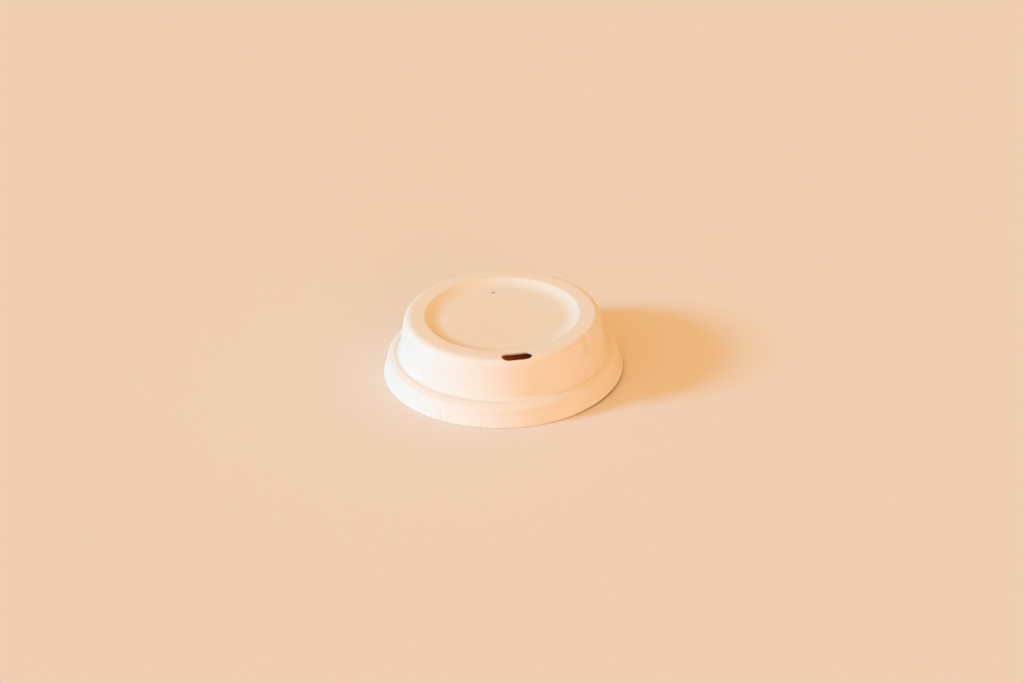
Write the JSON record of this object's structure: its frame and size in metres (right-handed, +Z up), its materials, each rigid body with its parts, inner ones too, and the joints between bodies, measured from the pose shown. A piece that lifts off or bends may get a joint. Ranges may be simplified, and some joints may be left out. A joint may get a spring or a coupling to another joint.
{
  "type": "coffee cup lid",
  "caption": "Round domed sip lid of pressed plant fibre with a sunken top, a bent sip slot in the rim, a small vent hole and a flared skirt that grips a cup.",
  "frame": {"origin": "centre of the lip edge's ring, in the plane it stands on", "axes": "+Z up along the lid's axis, -Y toward the sip slot, +Y toward the vent hole"},
  "size_m": [0.095, 0.095, 0.0245],
  "materials": {
    "fibre": "matt pressed plant fibre, warm off-white"
  },
  "bodies": {
    "root": {"lid": "fibre"}
  },
  "joints": []
}
